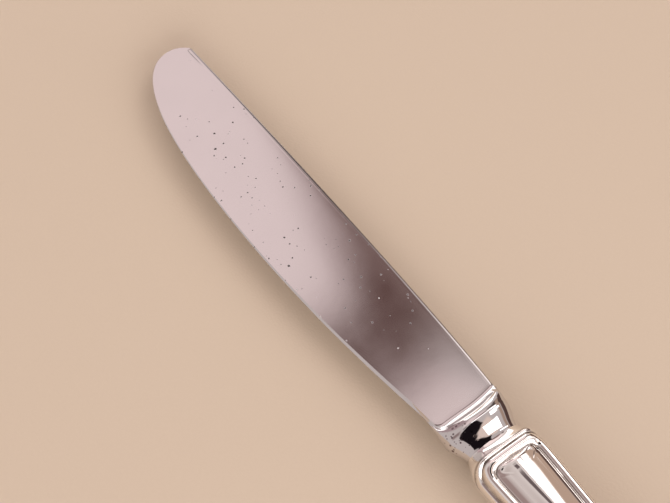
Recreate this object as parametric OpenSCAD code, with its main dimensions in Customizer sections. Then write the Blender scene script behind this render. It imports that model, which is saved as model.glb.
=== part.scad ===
// Table knife with a round tip, lying on its reverse side.
// The blade, its bolster and its tang are one forging. The tang is cemented
// into a hollow handle of two stamped half shells, soldered along the sides.
// +X points to the tip, +Y to the cutting edge and +Z up from the table.
// Modules draw about the knife's own axis, with the waist at the origin.

/* [Blade] */
// Length of the blade from the heel line to the tip
blade_l = 120; // [105:1:135]
// Width of the blade at its widest
blade_w = 21.1; // [19.5:0.1:23.5]
// Thickness of the spine at the heel
spine_t = 2.2; // [1.8:0.1:2.6]
// Thickness of the spine at the tip
tip_t = 1.1; // [0.9:0.1:1.4]
// Thickness of the steel behind the edge, where the blade is widest
shoulder_t = 0.8; // [0.6:0.05:1]
// Thickness of the blunt cutting edge itself
edge_t = 0.24; // [0.16:0.02:0.36]
// Angle of the bevel at the edge, from the flat of the blade
edge_angle = 28; // [22:1:36]

/* [Bolster] */
// Length of the bolster from the waist to the heel line
bolster_l = 9.5; // [8.5:0.1:12]
// Width of the bolster, and of the heel of the blade
bolster_w = 16.8; // [16:0.1:18.4]
// Thickness of the bolster at its fullest
bolster_t = 9.2; // [8.6:0.1:10]
// Radius of the hollow where the flat of the blade meets the bolster
heel_r = 1.6; // [1:0.1:2]
// Radius of the corner of the heel in plan, next to the edge
heel_corner_r = 2.2; // [1.8:0.1:3]
// Width of the waist between the bolster and the handle
waist_w = 13; // [12:0.1:14.4]
// Thickness of the waist
waist_t = 6.9; // [6.2:0.1:8.4]

/* [Handle] */
// Length of the handle from the waist to the butt
handle_l = 110.5; // [98:0.5:122]
// Width of the handle at its shoulder
shoulder_w = 17.4; // [16.6:0.1:18.6]
// Width of the handle at its narrowest
grip_w = 15.2; // [14.6:0.1:16.4]
// Width of the handle at its widest, near the butt
butt_w = 20.2; // [18.4:0.1:22]
// Thickness of the handle over the panels
handle_t = 12.2; // [11.2:0.1:13.2]
// Width of the threaded border round each panel
border_w = 3.1; // [2.7:0.1:3.3]
// Thickness of the sheet that the half shells are stamped from
sheet_t = 0.7; // [0.5:0.05:0.85]
// Thickness of the solder between the two half shells
seam_t = 0.12; // [0.08:0.02:0.2]

/* [Tang] */
// Length of the tang behind the waist
tang_l = 44; // [30:1:60]
// Width of the tang where it leaves the bolster
tang_w = 7; // [5:0.5:8.5]
// Thickness of the tang where it leaves the bolster
tang_t = 4.2; // [3:0.1:5]
// How far the cement reaches past the end of the tang
cement_past = 10; // [6:1:20]

/* [Hidden] */

steel = [0.80, 0.77, 0.77];
silver = [0.90, 0.87, 0.84];
solder = [0.72, 0.72, 0.70];
cement = [0.36, 0.30, 0.26];

// One overrun serves every cut
overrun = 0.3;
// Gap between the cement and the shells round it
cement_gap = 0.03;
// Depth of the threads and the pillow that are pressed into the sheet
press_depth = 0.6;

// Points of the blade's outline, as shares of its length and width. A share of
// 0 in width is the spine at the heel and 1 the edge at the widest point.
spine_line_shares = [[0, 0], [0.24, -0.077], [0.71, -0.035], [0.9755, 0.008]];
belly_shares = [[0.19, 0.922], [0.37, 1], [0.52, 1]];
tip_front_shares = [[0.52, 1], [0.764, 1], [1, 0.858], [1, 0.25]];
tip_back_shares = [[1, 0.25], [1, 0.16], [0.99, 0.07], [0.9755, 0.008]];

// The spine and the edge at the heel, as shares of the bolster's width
heel_spine_share = 0.51;
heel_edge_share = 0.463;

// The bolster from the heel line, 0, to the waist, 1. Each row holds the way
// there, the share of the full thickness, how far it has drawn in from the
// bolster to the waist, and how square the section is on the spine side and on
// the edge side, where 2 is an ellipse.
barrel_shares = [
    [0.167, 0.500, 0.00, 6.0, 2.5],
    [0.220, 0.667, 0.00, 4.2, 2.4],
    [0.295, 0.835, 0.00, 3.1, 2.3],
    [0.380, 0.950, 0.00, 2.5, 2.2],
    [0.460, 1.000, 0.02, 2.3, 2.2],
    [0.560, 1.000, 0.12, 2.2, 2.2],
    [0.670, 1.000, 0.32, 2.2, 2.2],
    [0.770, 1.000, 0.55, 2.2, 2.2],
    [0.860, 1.000, 0.77, 2.2, 2.2],
    [0.940, 1.000, 0.93, 2.2, 2.2],
    [1.000, 1.000, 1.00, 2.2, 2.2],
];
waist_square = 2.2;

// The handle's outline in plan, on the edge side. The outer thread crosses the
// shoulder in an arch, whose reach and corner are shares of the shoulder's width.
arch_reach_share = 0.138;
corner_reach_share = 0.2;
// How much shorter the corner gets from the outline to the inner thread
corner_tighten_share = 0.55;
// The arch and its corner: the way through the corner, and the share of the half width
arch_shares = [[0, 0], [0, 0.2], [0, 0.38], [0.02, 0.58]];
corner_shares = [[0.02, 0.58], [0.05, 0.88], [0.42, 0.955], [1, 0.985]];
// Then the side, the swell and the butt: the way from one end to the other, and
// how far the width has gone from that at the start to that at the end
side_run_shares = [[0, 0], [0.07, -0.24], [0.5, 1], [1, 1]];
swell_shares = [[0, 0], [0.4, 0], [0.65, 1], [1, 1]];
butt_shares = [[0, 0], [0.62, 0], [1, 0.333], [1, 1]];
grip_at_share = 0.41;
butt_at_share = 0.877;

// The stamped section of a half shell, from the seam up to its panel: how far
// in from the outline, as a share of the border, and the height, as a share of
// half the handle's thickness. First along the sides, then over the shoulder.
side_shares = [
    [0.00, 0.000], [0.00, 0.100], [0.02, 0.200], [0.06, 0.275], [0.13, 0.325],
    [0.21, 0.345], [0.26, 0.365], [0.28, 0.440], [0.33, 0.555], [0.43, 0.665],
    [0.56, 0.740], [0.69, 0.772], [0.81, 0.765], [0.91, 0.730], [0.98, 0.690],
    [1.05, 0.692], [1.16, 0.735], [1.36, 0.792], [1.66, 0.850],
];
front_shares = [
    [0.00, 0.770], [0.00, 0.800], [0.03, 0.842], [0.09, 0.868], [0.17, 0.868],
    [0.24, 0.842], [0.28, 0.815], [0.32, 0.832], [0.40, 0.872], [0.50, 0.902],
    [0.62, 0.918], [0.73, 0.915], [0.83, 0.895], [0.91, 0.865], [0.98, 0.835],
    [1.05, 0.837], [1.16, 0.868], [1.36, 0.905], [1.66, 0.940],
];
// From the panel's rim to its flat crest: the way there, and the share of the
// remaining height
crown_shares = [[0.36, 0.50], [0.68, 0.84], [1, 1]];
// The crest is a long rectangle, on which the knife lies still: its width as a
// share of the panel's narrowest, and its front behind the arch as a share of
// the border
crest_width_share = 0.55;
crest_front_share = 1.87;

function lerp(a, b, t) = a + (b - a) * t;
function ease(t) = t * t * (3 - 2 * t);
function bezier(p, t) = pow(1 - t, 3) * p[0] + 3 * t * pow(1 - t, 2) * p[1]
    + 3 * t * t * (1 - t) * p[2] + pow(t, 3) * p[3];
function curve(p, steps) = [for (i = [0:steps - 1]) bezier(p, i / steps)];
function power(v, e) = sign(v) * pow(abs(v), e);

// Closed rings of points, all with the same count and level about the middle
// plane, skinned from the butt towards the tip and closed straight down
ring_count = 36;
half_ring = ring_count / 2;
function end_faces(at) = concat(
    [[at, at + 1, at + ring_count - 1], [at + half_ring - 1, at + half_ring, at + half_ring + 1]],
    [for (i = [1:half_ring - 2]) [at + i, at + i + 1, at + ring_count - i - 1, at + ring_count - i]]
);
function reversed(face) = [for (i = [len(face) - 1:-1:0]) face[i]];
module skin(rings) {
    last = (len(rings) - 1) * ring_count;
    polyhedron(
        points = [for (ring = rings) each ring],
        faces = concat(
            end_faces(0),
            [for (r = [0:len(rings) - 2], i = [0:ring_count - 1])
                let (a = r * ring_count + i, b = r * ring_count + (i + 1) % ring_count)
                [a, a + ring_count, b + ring_count, b]],
            [for (face = end_faces(last)) reversed(face)]
        ),
        convexity = 6
    );
}
// A ring from its upper half, whose two ends lie on the middle plane
function mirrored(upper) = concat(upper,
    [for (i = [half_ring - 1:-1:1]) [upper[i][0], upper[i][1], -upper[i][2]]]);

// The outline of the blade in plan

belly_steps = 12;
front_steps = 12;
back_steps = 5;
heel_y = -bolster_w * heel_spine_share;
heel_edge_y = bolster_w * heel_edge_share;
function in_blade(s) = [bolster_l + s[0] * blade_l, heel_y + s[1] * blade_w];
spine_line = [for (s = spine_line_shares) in_blade(s)];
belly = concat([[bolster_l, heel_edge_y]], [for (s = belly_shares) in_blade(s)]);
edge_run = concat(
    curve(belly, belly_steps),
    curve([for (s = tip_front_shares) in_blade(s)], front_steps),
    curve([for (s = tip_back_shares) in_blade(s)], back_steps)
);
edge_count = len(edge_run);
// The spine's point across from a point of the edge: level with it along the
// belly, and closing up on the corner of the tip round the front
widest_share = tip_front_shares[0][0];
function spine_way(k) = k < belly_steps ? widest_share * k / belly_steps
    : lerp(widest_share, 1, sin(90 * (k - belly_steps) / (edge_count - 1 - belly_steps)));

// The flats taper from the heel to the tip, and from the spine to the edge
taper_slope = (spine_t - tip_t) / 2 / blade_l;
grind_slope = (spine_t / 2 - taper_slope * widest_share * blade_l - shoulder_t / 2) / blade_w;
function flat_z(x, y) = spine_t / 2 - taper_slope * (x - bolster_l) - grind_slope * (y - heel_y);

// The heel line bows forward a little towards the spine, and turns the corner
// to the edge on its radius
spine_bow_share = 0.45;
corner_bow_share = 1.45;
function heel_bow(y) =
    let (corner = (y - heel_edge_y) / heel_corner_r + 1)
    y < 0 ? heel_corner_r * spine_bow_share * pow(y / heel_y, 2)
    : corner < 0 ? 0
    : heel_corner_r * corner_bow_share * (1 - sqrt(1 - pow(min(1, corner), 2)));

// One section of the blade, from its edge over the obverse to its spine. The
// edge and the spine are rounded, and the bow of the heel line dies out over
// the first sections.
spine_round_share = 0.06;
edge_round_share = 0.17;
spine_round = spine_t * spine_round_share;
edge_round = edge_t * edge_round_share;
flat_steps = half_ring - 4;
bow_steps = 6;
function inward(k) =
    let (d = edge_run[min(edge_count - 1, k + 1)] - edge_run[max(0, k - 1)])
    [d[1], -d[0]] / norm(d);
function blade_ring(k) =
    let (
        bow = max(0, 1 - k / bow_steps),
        spine = bezier(spine_line, spine_way(k)),
        edge = edge_run[k],
        bevel_share = min(1, (edge_count - 1 - k) / back_steps),
        low_z = lerp(flat_z(edge[0], edge[1]), edge_t / 2, bevel_share),
        inset = (flat_z(edge[0], edge[1]) - low_z) / tan(edge_angle),
        bevel = edge + inward(k) * (inset + spine_round),
        back = spine + [0, spine_round],
        flats = [for (i = [0:flat_steps]) lerp(bevel, back, (1 - cos(180 * i / flat_steps)) / 2)],
        plan = concat([edge, edge + inward(k) * edge_round], flats, [spine + [0, edge_round], spine])
    )
    mirrored([for (i = [0:half_ring])
        let (
            x = plan[i][0] + bow * heel_bow(plan[i][1]),
            flat = flat_z(x, plan[i][1]),
            z = i == 0 || i == half_ring ? 0 : i == 1 ? low_z : i == half_ring - 1 ? flat - spine_round : flat
        )
        [x, plan[i][1], z]]);

// The bolster

heel_half_w = (heel_edge_y - heel_y) / 2;
heel_mid_y = (heel_edge_y + heel_y) / 2;
function section(x, half_w, half_t, mid_y, square_back, square_edge, bow) =
    mirrored([for (i = [0:half_ring])
        let (
            a = 180 * i / half_ring,
            square = cos(a) < 0 ? square_back : square_edge,
            y = mid_y + half_w * power(cos(a), 2 / square)
        )
        [x + bow * heel_bow(y), y, i == half_ring ? 0 : half_t * power(sin(a), 2 / square)]]);

// The hollow rises from the heel line on its radius, turn by turn, the less the
// nearer it comes to the edge
rise_square = 2.6;
function hollow_ring(turn) =
    [for (p = blade_ring(0))
        let (
            way = min(1, max(0, (p[1] - heel_mid_y) / heel_half_w)),
            rise = heel_r * (1 - cos(turn)) * pow(1 - pow(way, rise_square), 1 / rise_square)
        )
        [p[0] - heel_r * sin(turn), p[1], p[2] + sign(p[2]) * rise]];

bow_end_share = 0.5;
function barrel_ring(s) =
    let (bow = max(0, 1 - s[0] / bow_end_share), full_w = lerp(bolster_w / 2, heel_half_w, bow))
    section(bolster_l * (1 - s[0]), lerp(full_w, waist_w / 2, s[2]),
        lerp(bolster_t, waist_t, s[2]) / 2 * s[1], heel_mid_y * bow, s[3], s[4], bow);

// The tang tapers to its end
tang_end_share = 0.55;
tang_square = 6;
function tang_ring(x, share) =
    section(x, tang_w / 2 * share, tang_t / 2 * share, 0, tang_square, tang_square, 0);
module tang(root) {
    skin([tang_ring(-tang_l, tang_end_share), tang_ring(0, 1), tang_ring(root, 1)]);
}

// Tang, bolster and blade in one forging, from the end of the tang to the tip
module forging() {
    skin(concat(
        [tang_ring(-tang_l, tang_end_share), tang_ring(0, 1)],
        [for (i = [len(barrel_shares) - 1:-1:0]) barrel_ring(barrel_shares[i])],
        [for (turn = [45:-15:15]) hollow_ring(turn)],
        [for (k = [0:edge_count - 1]) blade_ring(k)]
    ));
}

// The hollow handle

// The outline in plan, drawn in all round by an inset: from the middle of the
// arch round the edge side to the middle of the butt, and back
arch_steps = 3;
corner_steps = 6;
side_steps = 7;
swell_steps = 8;
butt_steps = 9;
arch_count = arch_steps + corner_steps;
half_count = arch_count + side_steps + swell_steps + butt_steps;
station_count = 2 * half_count;
arch_x = -shoulder_w * arch_reach_share;
grip_x = -handle_l * grip_at_share;
butt_x = -handle_l * butt_at_share;
function at_shoulder(s, inset) =
    let (corner_l = shoulder_w * corner_reach_share * (1 - corner_tighten_share * inset / border_w))
    [arch_x - inset - corner_l * s[0], (shoulder_w / 2 - inset) * s[1]];
function between(a, b, shares) = [for (s = shares) [lerp(a[0], b[0], s[0]), lerp(a[1], b[1], s[1])]];
function half_outline(inset) =
    let (
        side = at_shoulder(corner_shares[3], inset),
        grip = [grip_x, grip_w / 2 - inset],
        swell = [butt_x, butt_w / 2 - inset],
        end = [inset - handle_l, 0]
    )
    concat(
        curve([for (s = arch_shares) at_shoulder(s, inset)], arch_steps),
        curve([for (s = corner_shares) at_shoulder(s, inset)], corner_steps),
        curve(between(side, grip, side_run_shares), side_steps),
        curve(between(grip, swell, swell_shares), swell_steps),
        curve(between(swell, end, butt_shares), butt_steps),
        [end]
    );
function outline(inset) =
    let (half = half_outline(inset))
    concat(half, [for (i = [half_count - 1:-1:1]) [half[i][0], -half[i][1]]]);
// Stations that lie on the arch, from one side of the handle to the other
arch_stations = [for (i = [arch_count:-1:1]) i, for (i = [0:arch_count]) (station_count - i) % station_count];
// 1 over the arch, falling to 0 round the shoulder's corner
function arch_share(i) =
    let (k = min(i, station_count - i))
    k <= arch_steps ? 1 : k >= arch_count ? 0 : ease((arch_count - k) / corner_steps);

// The point of the crest that a station's rim runs up to: the arch's stations
// share its front end and the butt's its back end
crest_front_x = arch_x - border_w * crest_front_share;
rim_inset = border_w * side_shares[len(side_shares) - 1][0];
crest_y = (min(shoulder_w, grip_w) / 2 - rim_inset) * crest_width_share;
function crest_point(i, x) =
    let (k = min(i, station_count - i), side = i > half_count ? -1 : 1)
    [min(crest_front_x, max(butt_x, x)), side * crest_y * min(1, k / arch_count, (half_count - k) / butt_steps)];

// One line round the stamped outside, from a row of each table, between the
// foot along the seam and the top of the panel
function contour(side, front, foot, top) =
    let (plan = outline(border_w * side[0]), front_plan = outline(border_w * front[0]))
    [for (i = [0:station_count - 1])
        let (t = arch_share(i), p = lerp(plan[i], front_plan[i], t))
        [p[0], p[1], lerp(foot, top, lerp(side[1], front[1], t))]];
function crown(rim, s, top) =
    [for (i = [0:station_count - 1])
        let (p = rim[i], q = lerp([p[0], p[1]], crest_point(i, p[0]), s[0]))
        [q[0], q[1], lerp(p[2], top, s[1])]];

// The face of the crest: a fan at each end, whose points lie on one line, and
// strips straight across between the two
function crest_faces(at) =
    let (n = station_count, a = arch_count + 1, c = half_count - butt_steps, b = c - 1)
    concat(
        [for (i = [0:arch_count - 1]) each [
            [at + i + 1, at + i, at + a],
            [at + (n - i) % n, at + n - i - 1, at + n - a]
        ]],
        [[at, at + n - a, at + a], [at + half_count, at + b, at + n - b]],
        [for (i = [a:b - 1]) [at + n - i, at + n - i - 1, at + i + 1, at + i]],
        [for (i = [c:half_count - 1]) each [
            [at + i + 1, at + i, at + b],
            [at + n - i, at + n - i - 1, at + n - b]
        ]]
    );

// Rows of the neck from the mouth to the arch: it flares at the sides at once,
// and over its top only as it reaches the arch.
neck_rows = 4;
wide = 2 * arch_count + 1;
function arc_row(x, half_w, half_t, foot, square) = [for (i = [0:wide - 1])
    let (a = 180 * i / (wide - 1))
    [x, half_w * power(cos(a), 2 / square), foot + (half_t - foot) * power(sin(a), 2 / square)]];
function neck_row(mouth, arch, s) = [for (i = [0:wide - 1])
    let (m = mouth[i], f = arch[i])
    [lerp(m[0], f[0], s), lerp(m[1], f[1], sin(90 * s)), lerp(m[2], f[2], 1 - cos(90 * s))]];

// The handle's plan on the edge side at the seam, drawn in by an inset, from
// the mouth to the butt
function side_run(inset) =
    let (plan = half_outline(inset), turn = plan[arch_count])
    concat(
        [for (r = [0:neck_rows - 1])
            let (s = r / neck_rows)
            [turn[0] * s, lerp(waist_w / 2 - inset, turn[1], sin(90 * s))]],
        [for (i = [arch_count:half_count]) plan[i]]
    );
function other_side(run) = [for (i = [len(run) - 1:-1:0]) [run[i][0], -run[i][1]]];
run_count = len(side_run(0));

// The hollow inside the sheet: it follows the panels but not the threads, and
// rounds off towards the butt.
hollow_square = 2.05;
butt_square = 2.4;
butt_round_share = 0.42;
butt_round = butt_w * butt_round_share;
function hollow_half_t(x, inset) =
    let (
        front = ease(min(1, x / crest_front_x)),
        end = min(1, max(0, (x + handle_l - inset) / butt_round))
    )
    lerp(waist_t / 2 - inset, handle_t / 2 - inset - press_depth, front)
        * pow(1 - pow(1 - end, butt_square), 1 / butt_square);

// A half shell in one skin: its stamped outside, its smooth hollow, the seam
// face along its foot and the rim of its mouth.
module half_shell() {
    foot = seam_t / 2;
    top = handle_t / 2;
    contours = [for (k = [0:len(side_shares) - 1]) contour(side_shares[k], front_shares[k], foot, top)];
    rim = contours[len(contours) - 1];
    rings = concat(contours, [for (s = crown_shares) crown(rim, s, top)]);
    arch = [for (i = arch_stations) rings[0][i]];
    mouth = arc_row(0, waist_w / 2, waist_t / 2, foot, waist_square);
    rows = [for (r = [0:neck_rows - 1]) neck_row(mouth, arch, r / neck_rows)];
    inner = [for (p = side_run(sheet_t))
        arc_row(p[0], p[1], max(foot, hollow_half_t(p[0], sheet_t)), foot, hollow_square)];
    n = station_count;
    rows_at = len(rings) * n;
    inner_at = rows_at + neck_rows * wide;
    function row(r, i) = r == neck_rows ? arch_stations[i] : rows_at + r * wide + i;
    function hollow(r, i) = inner_at + r * wide + i;
    function rim_at(r, way) = r < neck_rows ? row(r, way > 0 ? 0 : wide - 1)
        : (way * (r - neck_rows + arch_count) + n) % n;
    faces = concat(
        // The threaded border and the pillow of the panel
        [for (k = [0:len(rings) - 2], i = [0:n - 1])
            [(k + 1) * n + i, (k + 1) * n + (i + 1) % n, k * n + (i + 1) % n, k * n + i]],
        crest_faces((len(rings) - 1) * n),
        // The neck, and the hollow behind it
        [for (r = [0:neck_rows - 1], i = [0:wide - 2])
            [row(r, i), row(r, i + 1), row(r + 1, i + 1), row(r + 1, i)]],
        [for (r = [0:run_count - 2], i = [0:wide - 2])
            [hollow(r + 1, i), hollow(r + 1, i + 1), hollow(r, i + 1), hollow(r, i)]],
        // The rim of the mouth
        [for (i = [0:wide - 2]) [hollow(0, i), hollow(0, i + 1), row(0, i + 1), row(0, i)]],
        // The seam face on both sides
        [for (r = [0:run_count - 2])
            [rim_at(r, 1), rim_at(r + 1, 1), hollow(r + 1, 0), hollow(r, 0)]],
        [for (r = [0:run_count - 2])
            [hollow(r, wide - 1), hollow(r + 1, wide - 1), rim_at(r + 1, -1), rim_at(r, -1)]]
    );
    polyhedron(
        points = concat([for (ring = rings) each ring], [for (r = rows) each r],
            [for (r = inner) each r]),
        faces = faces,
        convexity = 8
    );
}

// The solder fills the seam from the outside of the handle to the hollow
module seam_plan() {
    outer = side_run(0);
    inner = side_run(sheet_t);
    difference() {
        polygon(concat(outer, other_side(outer)));
        polygon(concat([inner[0] + [overrun, 0]], inner, other_side(inner),
            [[inner[0][0] + overrun, -inner[0][1]]]));
    }
}

// The cement fills the hollow from the mouth to past the end of the tang
cement_rows = 9;
cement_end_x = -tang_l - cement_past;
hollow_widths = [for (p = side_run(sheet_t + cement_gap)) [-p[0], p[1]]];
function cement_ring(x) =
    section(x, lookup(-x, hollow_widths), hollow_half_t(x, sheet_t + cement_gap), 0,
        hollow_square, hollow_square, 0);
module cement_plug() {
    skin([for (r = [cement_rows:-1:0]) cement_ring(cement_end_x * r / cement_rows)]);
}

// Where the knife lies: centred over the ground, its reverse panel on the table
butt_y = butt_w / 2;
widest_y = heel_y + blade_w;
spine_low_y = min([for (p = curve(spine_line, belly_steps)) p[1]]);
low_y = min(-butt_y, spine_low_y);
high_y = max(butt_y, widest_y);
lie = [handle_l - (handle_l + bolster_l + blade_l) / 2, -(low_y + high_y) / 2, handle_t / 2];

module blade_forging() {
    color(steel) translate(lie) forging();
}
module obverse_shell() {
    color(silver) translate(lie) half_shell();
}
module reverse_shell() {
    color(silver) translate(lie) mirror([0, 0, 1]) half_shell();
}
module seam_solder() {
    color(solder) translate(lie) translate([0, 0, -seam_t / 2])
        linear_extrude(seam_t) seam_plan();
}
module tang_cement() {
    color(cement) translate(lie) difference() {
        cement_plug();
        tang(overrun);
    }
}

blade_forging();
obverse_shell();
reverse_shell();
seam_solder();
tang_cement();
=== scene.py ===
"""A table knife with a round tip and a threaded hollow handle, lying on a pale table."""

import math

import bmesh
import bpy
import numpy as np
from mathutils import Matrix, Vector


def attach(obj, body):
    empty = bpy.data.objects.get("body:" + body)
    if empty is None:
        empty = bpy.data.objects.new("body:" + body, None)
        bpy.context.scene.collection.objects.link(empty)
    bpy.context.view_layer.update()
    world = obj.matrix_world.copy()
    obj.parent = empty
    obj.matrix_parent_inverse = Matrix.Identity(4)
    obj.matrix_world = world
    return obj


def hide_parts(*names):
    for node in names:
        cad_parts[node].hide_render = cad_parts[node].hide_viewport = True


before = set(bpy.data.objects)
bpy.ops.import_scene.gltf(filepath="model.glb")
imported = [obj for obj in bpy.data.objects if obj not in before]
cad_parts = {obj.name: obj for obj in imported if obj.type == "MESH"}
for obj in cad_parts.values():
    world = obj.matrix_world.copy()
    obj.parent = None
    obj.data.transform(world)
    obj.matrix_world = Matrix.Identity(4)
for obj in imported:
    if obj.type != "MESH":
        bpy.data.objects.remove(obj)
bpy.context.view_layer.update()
scene = bpy.context.scene
MM = 0.001

# Points of a row, and points of the two grids of a shell, become one below these metres
row_merge = 1e-8
shell_merge = 1e-7

# Sizes of the knife in millimetres. They are those of the solids, but for edge_angle
# and corner_tighten_share, which follow the photograph more closely here. The knife's
# own axis runs along X through the waist between bolster and handle, the edge at +Y.

blade_l = 120
blade_w = 21.1
spine_t = 2.2
tip_t = 1.1
shoulder_t = 0.8
edge_t = 0.24
edge_angle = math.radians(48)
bolster_l = 9.5
bolster_w = 16.8
bolster_t = 9.2
heel_r = 1.6
heel_corner_r = 2.2
waist_w = 13
waist_t = 6.9
handle_l = 110.5
shoulder_w = 17.4
grip_w = 15.2
butt_w = 20.2
handle_t = 12.2
border_w = 3.1
sheet_t = 0.7
seam_t = 0.12
tang_l = 44
tang_w = 7
tang_t = 4.2

# The blade's outline and the bow of its heel line, as shares of other sizes
spine_line_shares = [(0, 0), (0.24, -0.077), (0.71, -0.035), (0.9755, 0.008)]
belly_shares = [(0.19, 0.922), (0.37, 1), (0.52, 1)]
tip_front_shares = [(0.52, 1), (0.764, 1), (1, 0.858), (1, 0.25)]
tip_back_shares = [(1, 0.25), (1, 0.16), (0.99, 0.07), (0.9755, 0.008)]
heel_spine_share = 0.51
heel_edge_share = 0.463
spine_bow_share = 0.45
corner_bow_share = 1.45
bow_end_share = 0.5

# The bolster: the way from the heel line to the waist, the share of the full
# thickness, how far it has drawn in, and how square it is to the spine and edge
barrel_shares = [
    (0.167, 0.500, 0.00, 6.0, 2.5),
    (0.220, 0.667, 0.00, 4.2, 2.4),
    (0.295, 0.835, 0.00, 3.1, 2.3),
    (0.380, 0.950, 0.00, 2.5, 2.2),
    (0.460, 1.000, 0.02, 2.3, 2.2),
    (0.560, 1.000, 0.12, 2.2, 2.2),
    (0.670, 1.000, 0.32, 2.2, 2.2),
    (0.770, 1.000, 0.55, 2.2, 2.2),
    (0.860, 1.000, 0.77, 2.2, 2.2),
    (0.940, 1.000, 0.93, 2.2, 2.2),
    (1.000, 1.000, 1.00, 2.2, 2.2),
]
waist_square = 2.2

# The handle: plan shares, then the stamped section from the seam to the panel
arch_reach_share = 0.138
corner_reach_share = 0.2
corner_tighten_share = 0.42
arch_shares = [(0, 0), (0, 0.2), (0, 0.38), (0.02, 0.58)]
corner_shares = [(0.02, 0.58), (0.05, 0.88), (0.42, 0.955), (1, 0.985)]
side_run_shares = [(0, 0), (0.07, -0.24), (0.5, 1), (1, 1)]
swell_shares = [(0, 0), (0.4, 0), (0.65, 1), (1, 1)]
butt_shares = [(0, 0), (0.62, 0), (1, 0.333), (1, 1)]
grip_at_share = 0.41
butt_at_share = 0.877
side_shares = [
    (0.00, 0.000), (0.00, 0.100), (0.02, 0.200), (0.06, 0.275), (0.13, 0.325),
    (0.21, 0.345), (0.26, 0.365), (0.28, 0.440), (0.33, 0.555), (0.43, 0.665),
    (0.56, 0.740), (0.69, 0.772), (0.81, 0.765), (0.91, 0.730), (0.98, 0.690),
    (1.05, 0.692), (1.16, 0.735), (1.36, 0.792), (1.66, 0.850),
]
front_shares = [
    (0.00, 0.770), (0.00, 0.800), (0.03, 0.842), (0.09, 0.868), (0.17, 0.868),
    (0.24, 0.842), (0.28, 0.815), (0.32, 0.832), (0.40, 0.872), (0.50, 0.902),
    (0.62, 0.918), (0.73, 0.915), (0.83, 0.895), (0.91, 0.865), (0.98, 0.835),
    (1.05, 0.837), (1.16, 0.868), (1.36, 0.905), (1.66, 0.940),
]

# How the border's inner rows are brought onto the side's section at the arch, how many
# rows the border, the neck and the panel's crown get, and the lengths over which that
# crown runs out at the arch and at the butt
arch_lift_gain = 2.5
arch_crown_from_share = 1.06
arch_crown_over_share = 0.34
border_steps = 3
neck_rows = 15
crown_rows = 20
crown_row_power = 1.3
front_fade = 1.1
butt_fade = 5

# Where the surface is darkened: in the border's grooves, with tarnish and painted shade, and along the neck
# close to the arch, with painted shade in the crease at the foot of the threads
groove_shares = (0.26, 1.0)
groove_reach_share = 0.085
neck_shade_share = 0.94
neck_shade_reach_share = 0.1

heel_y = -bolster_w * heel_spine_share
heel_edge_y = bolster_w * heel_edge_share
lowest_y = -butt_w / 2

# From the knife's own axis to its place on the table
lie = np.array([
    handle_l - (handle_l + bolster_l + blade_l) / 2,
    -(lowest_y + max(butt_w / 2, heel_y + blade_w)) / 2,
    handle_t / 2,
])


def lerp(a, b, t):
    return a + (b - a) * t


def ease(t):
    return t * t * (3 - 2 * t)


def power(v, e):
    return np.sign(v) * np.abs(v) ** e


def bezier(points, t):
    """Points of a cubic curve at the values t."""
    p = np.array(points, float)
    t = np.asarray(t, float)[..., None]
    return (1 - t) ** 3 * p[0] + 3 * t * (1 - t) ** 2 * p[1] + 3 * t * t * (1 - t) * p[2] + t ** 3 * p[3]


def curve_run(curves):
    """Points along curves joined end to end, each given as its four points and its steps."""
    return np.concatenate([bezier(points, np.arange(steps) / steps) for points, steps in curves])


def smooth_rows(rows, steps):
    """Rows of numbers, with a smooth run of steps from each to the next."""
    least_gap = 1e-9
    rows = np.array(rows, float)
    gaps = np.maximum(np.linalg.norm(np.diff(rows.reshape(len(rows), -1), axis=0), axis=1), least_gap)
    at = np.concatenate([[0], np.cumsum(np.sqrt(gaps))])
    slopes = np.gradient(rows, at, axis=0, edge_order=1)
    out = []
    for i in range(len(rows) - 1):
        h = at[i + 1] - at[i]
        for t in np.arange(steps) / steps:
            out.append((2 * t ** 3 - 3 * t * t + 1) * rows[i] + (t ** 3 - 2 * t * t + t) * h * slopes[i]
                       + (3 * t * t - 2 * t ** 3) * rows[i + 1] + (t ** 3 - t * t) * h * slopes[i + 1])
    return np.array(out + [rows[-1]])


def laid_grid(bm, rows, closed, grime_and_shade=None):
    """A grid whose lines are laid on rows of points. closed joins each row's ends.

    grime gives each row's share of the darkening: tarnish and painted shade in the grooves, painted shade in
    the neck's crease.
    """
    rows = np.array(rows, float)
    if closed:
        rows = np.concatenate([rows, rows[:, :1]], 1)
    high, wide = rows.shape[:2]
    held = bm.verts.layers.float.get("groove") or bm.verts.layers.float.new("groove")
    made = bmesh.ops.create_grid(bm, x_segments=wide - 1, y_segments=high - 1, size=0.5)
    share = np.repeat(np.zeros(high) if grime_and_shade is None else grime_and_shade, wide)
    for vert, point, value in zip(made["verts"], rows.reshape(-1, 3), share):
        vert.co = Vector((point + lie) * MM)
        vert[held] = value
    if closed:
        bmesh.ops.remove_doubles(bm, verts=made["verts"], dist=row_merge)


def piece(bm, name, material, node, sharp=None):
    """A finished piece on the knife, standing for its CAD node.

    sharp is the turn between two faces from which their edge shows as a crease.
    """
    bmesh.ops.recalc_face_normals(bm, faces=bm.faces)
    for face in bm.faces:
        face.smooth = True
    for edge in bm.edges:
        edge.smooth = not edge.is_boundary and (not sharp or edge.calc_face_angle(0) < sharp)
    mesh = bpy.data.meshes.new(name)
    bm.to_mesh(mesh)
    bm.free()
    mesh.materials.append(material)
    obj = bpy.data.objects.new(name, mesh)
    scene.collection.objects.link(obj)
    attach(obj, "root")
    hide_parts(node)
    return obj


# Blade, bolster and tang

# Half a section has one point more than half_ring. These many of them lie on the round
# of the edge, on the bevel and on the back.
half_ring = 72
nose_points = 5
bevel_points = 7
back_points = 12

# Stations along the blade's edge, and the steps from the waist to the heel
belly_count = 60
front_count = 50
back_count = 24
barrel_steps = 4
heel_steps = 2
hollow_turns = np.radians(np.arange(45, 0, -5))

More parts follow.
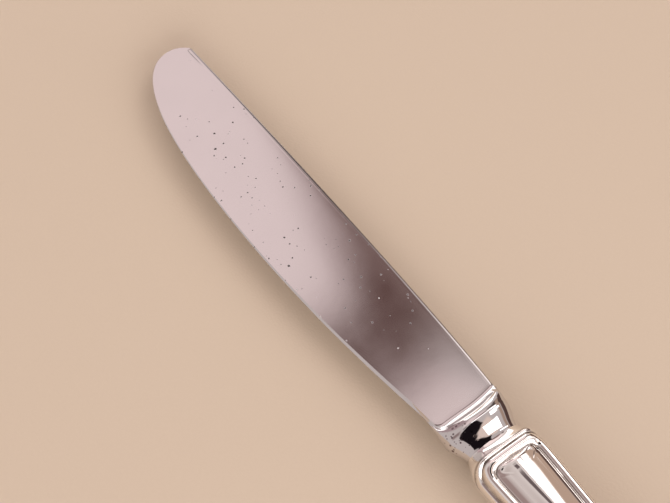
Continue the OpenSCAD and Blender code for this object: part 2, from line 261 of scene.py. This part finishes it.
# The round of the edge and of the back, the crown of the flats and their slight fall to
# the spine
edge_r = 0.05
back_l = 1.1
back_drop = 0.34
back_square = 2.5
crown_t = 0.05
spine_fall_t = 0.08
spine_fall_power = 8

# How square the tang is, the share that it tapers to, and the turn from which a crease shows
tang_square = 6
tang_end_share = 0.55
crease_angle = math.radians(24)


def in_blade(share):
    return (bolster_l + share[0] * blade_l, heel_y + share[1] * blade_w)


spine_line = [in_blade(s) for s in spine_line_shares]
edge_run = curve_run([
    ([(bolster_l, heel_edge_y)] + [in_blade(s) for s in belly_shares], belly_count),
    ([in_blade(s) for s in tip_front_shares], front_count),
    ([in_blade(s) for s in tip_back_shares], back_count),
])
last_station = len(edge_run) - 1
edge_way = np.gradient(edge_run, axis=0)
edge_in = np.stack([edge_way[:, 1], -edge_way[:, 0]], 1)
edge_in /= np.linalg.norm(edge_in, axis=1)[:, None]
widest_share = tip_front_shares[0][0]
taper_slope = (spine_t - tip_t) / 2 / blade_l
grind_slope = (spine_t / 2 - taper_slope * widest_share * blade_l - shoulder_t / 2) / blade_w


def flat_z(x, y):
    """Half the blade's thickness at a place on its flats."""
    return spine_t / 2 - taper_slope * (x - bolster_l) - grind_slope * (y - heel_y)


def heel_bow(y):
    """How far the heel line bows towards the tip, at a place across the blade."""
    y = np.asarray(y, float)
    corner = np.clip((y - heel_edge_y) / heel_corner_r + 1, 0, 1)
    near_edge = heel_corner_r * corner_bow_share * (1 - np.sqrt(1 - corner ** 2))
    near_spine = heel_corner_r * spine_bow_share * (y / heel_y) ** 2
    return np.where(y < 0, near_spine, near_edge)


def mirrored(upper):
    """A closed ring from its upper half, whose two ends lie on the middle plane."""
    return np.concatenate([upper, (upper * [1, 1, -1])[-2:0:-1]])


def blade_ring(k):
    """The section of the blade at a station, from its edge over the obverse and back."""
    way = widest_share * k / belly_count
    if k > belly_count:
        way = lerp(widest_share, 1, math.sin(math.pi / 2 * (k - belly_count) / (last_station - belly_count)))
    bow = max(0, 1 - k / (belly_count / 2))
    edge, inward = edge_run[k], edge_in[k]
    spine = bezier(spine_line, way)
    thick = flat_z(*edge)
    low = lerp(thick, edge_t / 2, min(1, (last_station - k) / back_count))
    bevel = edge + inward * ((thick - low) / math.tan(edge_angle) + edge_r)
    back = spine + np.array([0, back_l])
    turn = np.linspace(0, 1, nose_points, endpoint=False)
    nose = [edge + inward * edge_r * (1 - math.cos(a * math.pi / 2)) for a in turn]
    slope = [lerp(edge + inward * edge_r, bevel, t) for t in np.linspace(0, 1, bevel_points, endpoint=False)]
    first = nose_points + bevel_points
    flats = half_ring + 1 - first - back_points
    across = (1 - np.cos(np.pi * np.linspace(0, 1, flats))) / 2
    flat = [lerp(bevel, back, t) for t in across]
    fall = np.sin(np.arange(1, back_points + 1) / back_points * np.pi / 2)
    over = [lerp(back, spine, a) for a in fall]
    plan = np.array(nose + slope + flat + over)
    x = plan[:, 0] + bow * heel_bow(plan[:, 1])
    z = flat_z(x, plan[:, 1])
    z[:nose_points] = low * np.sin(turn * math.pi / 2)
    z[nose_points:first] = np.linspace(low, z[first], bevel_points, endpoint=False)
    z[-back_points:] -= back_drop * (1 - (1 - fall ** back_square) ** (1 / back_square))
    z[-1] = 0
    z[first:first + flats] += crown_t * np.sin(np.pi * across) ** 2 * min(1, (last_station - k) / back_count)
    z[first:first + flats] -= spine_fall_t * across ** spine_fall_power
    z[first + flats:-1] -= spine_fall_t
    return mirrored(np.stack([x, plan[:, 1], z], 1))


def section(x, half_w, half_t, mid_y, square_back, square_edge, bow):
    """A rounded section across the knife, more or less square to the spine and to the edge."""
    a = np.linspace(0, np.pi, half_ring + 1)
    square = np.where(np.cos(a) < 0, square_back, square_edge)
    y = mid_y + half_w * power(np.cos(a), 2 / square)
    z = half_t * power(np.abs(np.sin(a)), 2 / square)
    z[0] = z[-1] = 0
    return mirrored(np.stack([x + bow * heel_bow(y), y, z], 1))


heel_half_w = (heel_edge_y - heel_y) / 2
heel_mid_y = (heel_edge_y + heel_y) / 2
rise_square = 2.6


def hollow_ring(turn):
    """The hollow rises from the heel line on its radius, and less so towards the edge."""
    ring = blade_ring(0)
    way = np.clip((ring[:, 1] - heel_mid_y) / heel_half_w, 0, 1)
    rise = heel_r * (1 - math.cos(turn)) * (1 - way ** rise_square) ** (1 / rise_square)
    return ring + np.stack([-heel_r * math.sin(turn) + 0 * way, 0 * way, np.sign(ring[:, 2]) * rise], 1)


def barrel_ring(s):
    """The section of the bolster at a row of barrel_shares."""
    bow = max(0, 1 - s[0] / bow_end_share)
    full_w = lerp(bolster_w / 2, heel_half_w, bow)
    return section(bolster_l * (1 - s[0]), lerp(full_w, waist_w / 2, s[2]),
                   lerp(bolster_t, waist_t, s[2]) / 2 * s[1], heel_mid_y * bow, s[3], s[4], bow)


def tang_ring(x, share):
    return section(x, tang_w / 2 * share, tang_t / 2 * share, 0, tang_square, tang_square, 0)


def make_forging(material):
    """Blade, bolster and tang as one run of sections, from the end of the tang to the tip."""
    bolster = [barrel_ring(s) for s in smooth_rows(barrel_shares, barrel_steps)[::-1]]
    hollow = [hollow_ring(turn) for turn in hollow_turns]
    heel = smooth_rows(bolster + hollow + [blade_ring(0)], heel_steps)
    rings = [tang_ring(-tang_l, tang_end_share), tang_ring(0, 1)] + list(heel[:-1])
    rings += [blade_ring(k) for k in range(last_station + 1)]
    bm = bmesh.new()
    laid_grid(bm, rings, True)
    bmesh.ops.holes_fill(bm, edges=[e for e in bm.edges if e.is_boundary], sides=0)
    return piece(bm, "blade_forging_polished", material, "blade_forging", crease_angle)


# Hollow handle

# Stations along half of the handle's outline
arch_steps = 14
corner_steps = 40
side_steps = 40
swell_steps = 40
butt_steps = 50
arch_count = arch_steps + corner_steps
half_count = arch_count + side_steps + swell_steps + butt_steps
station_count = 2 * half_count
arch_x = -shoulder_w * arch_reach_share
grip_x = -handle_l * grip_at_share
butt_x = -handle_l * butt_at_share
rim_inset = border_w * side_shares[-1][0]

# How far from the rim the ridge of the panel ends, at the arch and at the butt
ridge_front = 3.5
ridge_back = butt_w / 2 - rim_inset


def at_shoulder(s, inset):
    """A place on the shoulder's outline, drawn in by an inset."""
    corner_l = shoulder_w * corner_reach_share * (1 - corner_tighten_share * inset / border_w)
    return (arch_x - inset - corner_l * s[0], (shoulder_w / 2 - inset) * s[1])


def between(a, b, shares):
    """Places between two others, at shares of the way along and across."""
    return [(lerp(a[0], b[0], s[0]), lerp(a[1], b[1], s[1])) for s in shares]


def outline(inset):
    """The handle's plan drawn in by an inset, from the middle of the arch round the edge side."""
    side = at_shoulder(corner_shares[3], inset)
    grip = (grip_x, grip_w / 2 - inset)
    swell = (butt_x, butt_w / 2 - inset)
    end = (inset - handle_l, 0)
    runs = [
        ([at_shoulder(s, inset) for s in arch_shares], arch_steps),
        ([at_shoulder(s, inset) for s in corner_shares], corner_steps),
        (between(side, grip, side_run_shares), side_steps),
        (between(grip, swell, swell_shares), swell_steps),
        (between(swell, end, butt_shares), butt_steps),
    ]
    half = np.concatenate([curve_run(runs), [end]])
    return np.concatenate([half, (half * [1, -1])[-2:0:-1]])


station = np.minimum(np.arange(station_count), station_count - np.arange(station_count))
arch_share = ease(np.clip((arch_count - station) / corner_steps, 0, 1))[:, None]
arch_lift = np.minimum(1, arch_share[:, 0] * arch_lift_gain)
arch_stations = [i % station_count for i in range(arch_count, -arch_count - 1, -1)]


def contour(row):
    """One line round the stamped outside, from a row of the side's and the front's shares."""
    plan = lerp(outline(border_w * row[0]), outline(border_w * row[2]), arch_share)
    height = lerp(seam_t / 2, handle_t / 2, lerp(row[1], row[3], arch_share))
    return np.concatenate([plan, height], 1)


def crowned(share, rim_z, slope, half_w):
    """Height over the panel, from its rim at share 0 to the ridge along its middle at 1."""
    rise = (share ** 3 - 2 * share ** 2 + share) * slope * half_w
    return rim_z + rise + ease(share) * (handle_t / 2 - rim_z)


def crown(before, rim, way):
    """A line of the panel's pillow, part of the way from the rim to the ridge.

    The section across is the same crown all along. At the arch and at the butt the
    pillow runs out into the lower rim over a short length.
    """
    side = slice(arch_count, half_count - butt_steps)
    side_z = rim[arch_count, 2]
    steps = np.linalg.norm(rim[:, :2] - before[:, :2], axis=1)
    slope = (rim[:, 2] - before[:, 2]) / steps
    side_slope = slope[arch_count]

    def pillow(x, y):
        half_w = np.interp(x, rim[side, 0][::-1], rim[side, 1][::-1])
        return crowned(np.clip(1 - np.abs(y) / half_w, 0, 1), side_z, side_slope, half_w)

    behind = rim[0, 0] - rim[:, 0]
    ahead = rim[:, 0] - rim[half_count, 0]
    ridge_x = rim[:, 0] + behind - np.hypot(behind, ridge_front) + np.hypot(ahead, ridge_back) - ahead
    run = np.hypot(ridge_x - rim[:, 0], rim[:, 1])
    x = lerp(rim[:, 0], ridge_x, way)
    y = rim[:, 1] * (1 - way)
    reach = np.where(rim[:, 0] > butt_x, front_fade, butt_fade)
    t = np.clip(way * run / reach, 0, 1)
    inward = np.stack([ridge_x - rim[:, 0], -rim[:, 1]], 1) / run[:, None]
    step = 0.01
    gap = rim[:, 2] - pillow(rim[:, 0], rim[:, 1])
    pillow_slope = (pillow(*(rim[:, :2] + inward * step).T) - pillow(rim[:, 0], rim[:, 1])) / step
    along_side = (slope * np.abs(inward[:, 1]) - pillow_slope) * (1 - arch_lift)
    gap_slope = np.where(rim[:, 0] > butt_x, along_side, slope - pillow_slope)
    blend = gap * (2 * t ** 3 - 3 * t ** 2 + 1) + gap_slope * reach * (t ** 3 - 2 * t ** 2 + t)
    return np.stack([x, y, pillow(x, y) + blend], 1)


def lift_front(rows, border):
    """Bring the border's inner rows onto the side's section at the arch.

    The panel then runs straight up to its front border.
    """
    before, rim = rows[-2:]
    half_w = rim[arch_count, 1]
    side_slope = (rim[arch_count, 2] - before[arch_count, 2]) / (before[arch_count, 1] - half_w)
    side_y = [line[arch_count, 1] for line in rows[::-1]]
    side_z = [line[arch_count, 2] for line in rows[::-1]]
    for line, shares in zip(rows, border):
        y = np.abs(line[:, 1])
        crown_z = crowned(np.clip(1 - y / half_w, 0, 1), side_z[0], side_slope, half_w)
        panel_z = np.where(y < half_w, crown_z, np.interp(y, side_y, side_z))
        inner = np.clip((shares[2] - arch_crown_from_share) / arch_crown_over_share, 0, 1)
        line[:, 2] = lerp(line[:, 2], panel_z, ease(inner) * arch_lift)


def neck_lines(arch):
    """Lines from the round mouth at the waist to the arch over the shoulder."""
    a = np.linspace(0, np.pi, len(arch))
    foot = seam_t / 2
    mouth_y = waist_w / 2 * power(np.cos(a), 2 / waist_square)
    mouth_z = foot + (waist_t / 2 - foot) * np.abs(np.sin(a)) ** (2 / waist_square)
    mouth = np.stack([0 * a, mouth_y, mouth_z], 1)
    lines = []
    for s in np.linspace(0, 1, neck_rows):
        ways = [s, math.sin(math.pi / 2 * s), 1 - math.cos(math.pi / 2 * s)]
        lines.append(lerp(mouth, arch, np.array(ways)))
    return lines


def make_shell(name, node, side, material):
    """One stamped half of the handle, above the seam for side 1 and below it for side -1."""
    border = smooth_rows([a + b for a, b in zip(side_shares, front_shares)], border_steps)
    rows = [contour(row) for row in border]
    lift_front(rows, border)
    before, rim = rows[-2:]
    ways = (np.arange(1, crown_rows + 1) / crown_rows) ** crown_row_power
    rows += [crown(before, rim, way) for way in ways]
    neck = neck_lines(rows[0][arch_stations])
    inset = np.array([row[0] for row in border] + [side_shares[-1][0]] * crown_rows)
    # The grooves are darkened with tarnish and painted shade
    grime_and_shade = sum(np.exp(-((inset - groove) / groove_reach_share) ** 2) for groove in groove_shares)
    # Painted shade along the neck close to the arch, in the crease at the foot of the threads
    along_neck = np.linspace(0, 1, neck_rows)
    neck_shade = np.exp(-((along_neck - neck_shade_share) / neck_shade_reach_share) ** 2)
    up = np.array([1, 1, side])
    bm = bmesh.new()
    laid_grid(bm, [row * up for row in rows], True, grime_and_shade)
    laid_grid(bm, [row * up for row in neck], False, neck_shade)
    bmesh.ops.remove_doubles(bm, verts=bm.verts, dist=shell_merge)
    shell = piece(bm, name, material, node)
    wall = shell.modifiers.new("Sheet", "SOLIDIFY")
    wall.thickness = sheet_t * MM
    wall.offset = -1
    return shell


# Materials

# Colours: the tones that a finish wanders between, and its stains
steel_tones = (0.655, 0.630, 0.625, 1), (0.700, 0.675, 0.668, 1)
dried_tone = (0.78, 0.76, 0.75, 1)
pit_tone = (0.07, 0.055, 0.055, 1)
tarnish_tone = (0.09, 0.04, 0.05, 1)
plate_tones = (0.93, 0.895, 0.86, 1), (0.965, 0.94, 0.91, 1)
# The grooves' tone is tarnish and painted shade, and painted shade in the neck's crease
grime_and_shade_tone = (0.17, 0.115, 0.09, 1)
spot_tone = (0.30, 0.22, 0.18, 1)
solder_tones = (0.36, 0.33, 0.30, 1), (0.66, 0.63, 0.60, 1)
cement_tones = (0.10, 0.066, 0.048, 1), (0.19, 0.14, 0.10, 1)
bubble_tone = (0.04, 0.03, 0.02, 1)
board_tones = (0.690, 0.560, 0.428, 1), (0.722, 0.590, 0.452, 1)
blotch_tone = (0.715, 0.585, 0.450, 1)

# Places along the knife and lengths that the finishes use, in millimetres
blade_from_x = bolster_l - 1
blade_blend = 3
pits_x = 72
tarnish_x = 4
sides_apart = 211
ragged_by = 0.35


class Value:
    """A shader socket. Python's operators on it add Math nodes."""

    def __init__(self, paint, socket):
        self.paint = paint
        self.socket = socket

    def out(self, name):
        """Another output of the same node."""
        return Value(self.paint, self.socket.node.outputs[name])

    def __add__(self, other):
        return self.paint.math("ADD", self, other)

    def __radd__(self, other):
        return self.paint.math("ADD", other, self)

    def __sub__(self, other):
        return self.paint.math("SUBTRACT", self, other)

    def __rsub__(self, other):
        return self.paint.math("SUBTRACT", other, self)

    def __mul__(self, other):
        return self.paint.math("MULTIPLY", self, other)

    def __rmul__(self, other):
        return self.paint.math("MULTIPLY", other, self)

    def __truediv__(self, other):
        return self.paint.math("DIVIDE", self, other)

    def __lt__(self, other):
        return self.paint.math("LESS_THAN", self, other)

    def __gt__(self, other):
        return self.paint.math("GREATER_THAN", self, other)

    def __abs__(self):
        return self.paint.math("ABSOLUTE", self)


class Paint:
    """The nodes of one material, or of the room, added by one method."""

    def __init__(self, owner):
        owner.use_nodes = True
        self.tree = owner.node_tree
        self.tree.nodes.clear()

    def add(self, kind, settings=None, sockets=None, output=0):
        """A node of a kind: its settings first, then the values or links of its sockets."""
        node = self.tree.nodes.new("ShaderNode" + kind)
        for name, setting in (settings or {}).items():
            setattr(node, name, setting)
        for name, value in (sockets or {}).items():
            if isinstance(value, Value):
                self.tree.links.new(value.socket, node.inputs[name])
            else:
                node.inputs[name].default_value = value
        return Value(self, node.outputs[output]) if node.outputs else None

    def math(self, operation, *values):
        return self.add("Math", {"operation": operation}, dict(enumerate(values)))

    def rise(self, value, low, high):
        """0 below low, 1 above high and a smooth step between."""
        sockets = {"Value": value, "From Min": low, "From Max": high}
        return self.add("MapRange", {"interpolation_type": "SMOOTHSTEP"}, sockets)

    def fall(self, value, low, high):
        """1 below low, 0 above high and a smooth step between."""
        return 1 - self.rise(value, low, high)

    def mix(self, share, first, second):
        """Between two colours, which are sockets 6 and 7 of the node and its output 2."""
        return self.add("Mix", {"data_type": "RGBA"}, {0: share, 6: first, 7: second}, 2)

    def noise(self, at, size, detail):
        """Noise from 0 to 1 with lumps of about one size."""
        return self.add("TexNoise", None, {"Vector": at, "Scale": 1 / size, "Detail": detail})

    def bump(self, height):
        """A relief from heights in millimetres."""
        return self.add("Bump", None, {"Strength": 1, "Distance": MM, "Height": height})

    def parts(self, at):
        """The x, y and z of a vector."""
        split = self.add("SeparateXYZ", None, {0: at})
        return split, split.out("Y"), split.out("Z")

    def specks(self, at, spacing, smallest, largest, share, flat=True):
        """Round spots at random, one at most in each cell, in a share of the cells."""
        settings = {"voronoi_dimensions": "2D" if flat else "3D"}
        cell = self.add("TexVoronoi", settings, {"Vector": at, "Scale": 1 / spacing})
        kept, wide, _ = self.parts(cell.out("Color"))
        radius = smallest + wide * wide * (largest - smallest)
        away = cell * spacing / radius
        return self.fall(away, low=0.6, high=1.1) * (kept < share)


def on_knife(paint):
    """Places on the knife's own axis in millimetres."""
    place = paint.add("TexCoord", None, None, "Object")
    sockets = {"Vector": place, "Scale": (1 / MM,) * 3, "Location": tuple(-lie)}
    return paint.add("Mapping", None, sockets)


def new_material(name):
    mat = bpy.data.materials.new(name)
    return mat, Paint(mat)


def finish_surface(paint, colour, roughness, bump, metallic=1):
    """Close a material with its shader. metallic is 0 for what isn't a metal."""
    sockets = {"Base Color": colour, "Metallic": metallic, "Roughness": roughness, "Normal": bump}
    shader = paint.add("BsdfPrincipled", None, sockets)
    paint.add("OutputMaterial", None, {"Surface": shader})


def hairlines(paint, at, length, width, turn):
    """Fine scratches along one heading, from noise drawn out into lines."""
    scale = (1 / length, 1 / width, 1 / length)
    sockets = {"Vector": at, "Rotation": (0, 0, math.radians(turn)), "Scale": scale}
    drawn = paint.add("Mapping", None, sockets)
    return paint.rise(paint.noise(drawn, size=1, detail=1), low=0.72, high=0.80)


def polished_steel():
    """Stainless steel: mirror bright on the bolster, softly polished and worn on the blade."""
    mat, paint = new_material("polished_steel")
    at = on_knife(paint)
    x, y, z = paint.parts(at)
    blade = paint.rise(x, blade_from_x, blade_from_x + blade_blend)

    # The two sides of the blade take their spots from places far apart, so they differ
    wobble = paint.noise(at, size=0.35, detail=2)
    ragged_x = x + (z < 0) * sides_apart + (wobble - 0.5) * ragged_by
    ragged_y = y + (wobble.out("Color") - 0.5) * ragged_by
    ragged = paint.add("CombineXYZ", None, {"X": ragged_x, "Y": ragged_y})

    crowded = paint.fall(abs(x - pits_x), low=20, high=50) * blade
    small = paint.specks(ragged, spacing=1.9, smallest=0.10, largest=0.27, share=0.27 * crowded)
    large = paint.specks(ragged, spacing=5.3, smallest=0.20, largest=0.42, share=0.30 * crowded)
    pits = paint.math("MAXIMUM", small, large)

    smear = paint.noise(at, size=9, detail=4)
    long_lines = hairlines(paint, at, length=12, width=0.05, turn=24)
    short_lines = hairlines(paint, at, length=7, width=0.05, turn=-61)
    lines = paint.math("MAXIMUM", long_lines, short_lines)
    dried = paint.specks(ragged, spacing=4.1, smallest=0.12, largest=0.45, share=0.16) * blade

    beside_waist = paint.fall(abs(x - tarnish_x), low=1.5, high=4.5) * paint.rise(y, low=1.5, high=4)
    spots = paint.specks(at, spacing=0.8, smallest=0.12, largest=0.42, share=0.75, flat=False)
    tarnish = spots * beside_waist * (1 - blade)

    clean = paint.mix(smear, *steel_tones)
    worn = paint.mix(dried * 0.5, clean, dried_tone)
    pitted = paint.mix(pits * 0.86, worn, pit_tone)
    colour = paint.mix(tarnish * 0.9, pitted, tarnish_tone)

    along_hollow = paint.fall(abs(x - bolster_l), heel_r * 0.7, heel_r * 1.5)
    hollow = along_hollow * paint.fall(y, low=2, high=6)
    polish = 0.035 + blade * (0.07 + (smear - 0.5) * 0.05) + hollow * 0.02
    roughness = polish + lines * 0.015 * blade + dried * 0.28 + pits * 0.4 + tarnish * 0.1
    ripple = paint.noise(at, size=5, detail=2)
    bump = paint.bump(ripple * 0.004 - pits * 0.03 - tarnish * 0.004)
    finish_surface(paint, colour, roughness, bump)
    return mat


def silver_plate():
    """Silver plate: mirror bright, a little tarnished and with painted shade in the grooves of the threads,
    and with painted shade in the crease of the neck by the arch.
    """
    mat, paint = new_material("silver_plate")
    at = on_knife(paint)
    # The groove attribute darkens the grooves with tarnish and painted shade, and the neck's crease with
    # painted shade
    depth = paint.add("Attribute", {"attribute_name": "groove"}, None, "Fac")
    grime_and_shade = depth * paint.rise(paint.noise(at, size=4, detail=4), low=0.1, high=0.6)
    cloud = paint.noise(at, size=13, detail=3)
    long_lines = hairlines(paint, at, length=11, width=0.12, turn=6)
    short_lines = hairlines(paint, at, length=5, width=0.10, turn=61)
    lines = paint.math("MAXIMUM", long_lines, short_lines)
    spots = paint.specks(at, spacing=2.7, smallest=0.06, largest=0.18, share=0.12, flat=False)

    bright = paint.mix(cloud, *plate_tones)
    grimed_and_shaded = paint.mix(grime_and_shade * 0.8, bright, grime_and_shade_tone)
    colour = paint.mix(spots * 0.5, grimed_and_shaded, spot_tone)
    roughness = 0.035 + cloud * 0.02 + lines * 0.07 + grime_and_shade * 0.22 + spots * 0.2
    ripple = paint.noise(at, size=3.5, detail=2)
    bump = paint.bump(ripple * 0.006 - lines * 0.0003 - spots * 0.01)
    finish_surface(paint, colour, roughness, bump)
    return mat


def silver_solder():
    """The line of solder along the seam, duller and greyer than the plate."""
    mat, paint = new_material("silver_solder")
    at = on_knife(paint)
    grain = paint.noise(at, size=0.4, detail=4)
    colour = paint.mix(grain, *solder_tones)
    bump = paint.bump(paint.noise(at, size=0.25, detail=3) * 0.02)
    finish_surface(paint, colour, 0.22 + grain * 0.2, bump)
    return mat


def resin_cement():
    """The brown plug of cement inside the handle, chalky and full of small bubbles."""
    mat, paint = new_material("resin_cement")
    at = on_knife(paint)
    grain = paint.noise(at, size=1.2, detail=6)
    bubbles = paint.specks(at, spacing=1.5, smallest=0.1, largest=0.4, share=0.5, flat=False)
    mixed = paint.mix(grain, *cement_tones)
    colour = paint.mix(bubbles * 0.6, mixed, bubble_tone)
    bump = paint.bump(grain * 0.2 - bubbles * 0.15)
    finish_surface(paint, colour, 0.85 - grain * 0.2, bump, metallic=0)
    return mat


steel = polished_steel()
silver = silver_plate()
solder = silver_solder()
cement = resin_cement()

forging = make_forging(steel)
for name, node, side in (
    ("obverse_shell_stamped", "obverse_shell", 1),
    ("reverse_shell_stamped", "reverse_shell", -1),
):
    make_shell(name, node, side, silver)
for node, mat in (("seam_solder", solder), ("tang_cement", cement)):
    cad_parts[node].data.materials.clear()
    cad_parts[node].data.materials.append(mat)

# Table, room, lamps and camera

# The camera's heading, its angle over the table, how far it stands, how wide it sees,
# the nearest that it sees, and the place that it looks at
heading = math.radians(233.5)
tilt = math.radians(58)
camera_distance = 290 * MM
view_angle = math.radians(30)
nearest_seen = 10 * MM
aim = Vector((50.6, -5.2, 0)) * MM
away = Vector((-math.sin(heading), math.cos(heading), 0))
right = Vector((math.cos(heading), math.sin(heading), 0))


def facing(across, up, turn):
    """Towards a place in the room, and along the two sides of a rectangle there.

    across and up are degrees from straight overhead, to the right and away from the
    camera. turn is the heading of the rectangle's width, from the right to away.
    """
    slant = math.radians(math.hypot(across, up))
    toward = (right * across + away * up).normalized() * math.sin(slant) + Vector((0, 0, math.cos(slant)))
    along = right * math.cos(math.radians(turn)) + away * math.sin(math.radians(turn))
    wide = (along - toward * along.dot(toward)).normalized()
    return toward, wide, toward.cross(wide)


table_mat, paint = new_material("pale_board")
place = paint.add("TexCoord", None, None, "Object")
fibre = paint.noise(place, size=0.6 * MM, detail=3)
blotch = paint.noise(place, size=50 * MM, detail=3)
board = paint.mix(fibre, *board_tones)
toned = paint.mix(blotch * 0.5, board, blotch_tone)
grain = paint.add("Bump", None, {"Strength": 0.4, "Distance": 0.1 * MM, "Height": fibre})
finish_surface(paint, toned, 0.62, grain, metallic=0)

# The board reaches 3 m each way
table_reach = 3
floor_mesh = bpy.data.meshes.new("table_top")
bm = bmesh.new()
bmesh.ops.create_grid(bm, x_segments=1, y_segments=1, size=table_reach)
bm.to_mesh(floor_mesh)
bm.free()
floor = bpy.data.objects.new("table_top", floor_mesh)
scene.collection.objects.link(floor)
floor_mesh.materials.append(table_mat)

world = bpy.data.worlds.new("room")
scene.world = world
paint = Paint(world)
look = paint.add("TexCoord", None, None, "Generated")


def patch(across, up, turn, half_w, half_h, soft):
    """A soft-edged rectangle of the room: 1 inside it and 0 outside, sized in degrees."""
    least_ahead = 0.001
    toward, wide, high = facing(across, up, turn)
    dots = [paint.add("VectorMath", {"operation": "DOT_PRODUCT"}, {0: look, 1: tuple(v)}, "Value")
            for v in (toward, wide, high)]
    ahead = paint.math("MAXIMUM", dots[0], least_ahead)
    inside = dots[0] > 0
    for dot, half in ((dots[1], half_w), (dots[2], half_h)):
        edges = [math.tan(math.radians(half + way * soft)) for way in (-1, 1)]
        inside = inside * paint.fall(abs(dot / ahead), *edges)
    return inside


# The room that the metal mirrors. Each patch has its place, its turn, half its width and
# height and the softness of its edge, all in degrees, then its colour and its share.
shade = (0.69, 0.61, 0.595, 1)
for part, colour, share in (
    (patch(22, -10, 60, 22, 9, 3), (0.95, 0.76, 0.68, 1), 1),
    (patch(-14, 38, 0, 14, 17, 2), (1.0, 0.825, 0.82, 1), 1),
    (patch(4, 22.4, 0, 7, 4, 2), (0.93, 0.76, 0.75, 1), 1),
    (patch(4, 34.5, 0, 5, 6, 2.6), (0.17, 0.085, 0.075, 1), 0.9),
    (patch(0.6, 27.4, 50, 4.0, 2.4, 1.5), (0.10, 0.04, 0.033, 1), 1),
    (patch(-47, 62, 0, 13, 22, 4), (0.50, 0.37, 0.38, 1), 1),
    (patch(26, 53.4, 35, 20, 6.5, 3), (0.08, 0.05, 0.045, 1), 1),
    (patch(26.6, 40.4, 35, 14, 2, 1), (1.6, 1.45, 1.4, 1), 1),
    (patch(-1, -13, 60, 26, 11.5, 1.2), (0.012, 0.008, 0.01, 1), 1),
    (patch(-12.5, 3.5, 35, 5, 2.4, 1), (0.08, 0.05, 0.055, 1), 0.9),
    (patch(-40, -14, 20, 18, 11, 8), (0.33, 0.24, 0.23, 1), 1),
    (patch(46.2, 41.9, 125, 24, 5.5, 2), (0.48, 0.34, 0.27, 1), 1),
    (patch(61, 52.2, 125, 28, 10, 2), (0.11, 0.065, 0.055, 1), 1),
    (patch(78, 10, 90, 30, 9, 3), (0.12, 0.07, 0.06, 1), 0.8),
):
    shade = paint.mix(part * share, shade, colour)
for_camera = paint.add("LightPath", None, None, "Is Camera Ray")
backdrop_tone = (0.90, 0.84, 0.78, 1)
seen = paint.mix(for_camera, shade, backdrop_tone)
background = paint.add("Background", None, {"Color": seen, "Strength": 1})
paint.add("OutputWorld", None, {"Surface": background})

# Metres from the aim to every lamp
lamp_distance = 3


def softbox(name, across, up, turn, half_w, half_h, radiance):
    """A rectangular lamp that faces the knife from across the room, sized in degrees."""
    toward, wide, high = facing(across, up, turn)
    lamp = bpy.data.lights.new(name, "AREA")
    lamp.shape = "RECTANGLE"
    lamp.size = 2 * lamp_distance * math.tan(math.radians(half_w))
    lamp.size_y = 2 * lamp_distance * math.tan(math.radians(half_h))
    lamp.energy = radiance * math.pi * lamp.size * lamp.size_y
    obj = bpy.data.objects.new(name, lamp)
    obj.location = aim + toward * lamp_distance
    obj.rotation_mode = "QUATERNION"
    obj.rotation_quaternion = Matrix((wide, high, toward)).transposed().to_quaternion()
    obj.visible_camera = False
    scene.collection.objects.link(obj)


# The place and the turn of each lamp, half its width and height, and how bright it is
softbox("key_softbox", 30, 33.2, 35, 9, 4, 2.2)
softbox("key_softbox_tail", 11, 20, 35, 14, 2.6, 1.7)
softbox("second_softbox", 41, 25, 35, 14, 2.2, 2.0)
softbox("right_softbox", 34, 4, 35, 14, 3.4, 1.9)
softbox("back_softbox", -17, 78, 0, 13, 10, 1.6)
softbox("fill_softbox", 58, -36, 150, 20, 13, 2.2)
softbox("front_softbox", 12, -68, 0, 22, 13, 4.8)

back = Vector((math.sin(heading) * math.cos(tilt), -math.cos(heading) * math.cos(tilt), math.sin(tilt)))
camera = bpy.data.objects.new("camera", bpy.data.cameras.new("camera"))
camera.data.angle = view_angle
camera.data.clip_start = nearest_seen
camera.location = aim + back * camera_distance
camera.rotation_mode = "QUATERNION"
camera.rotation_quaternion = (-back).to_track_quat("-Z", "Y")
scene.collection.objects.link(camera)
scene.camera = camera
scene.view_settings.view_transform = "Standard"
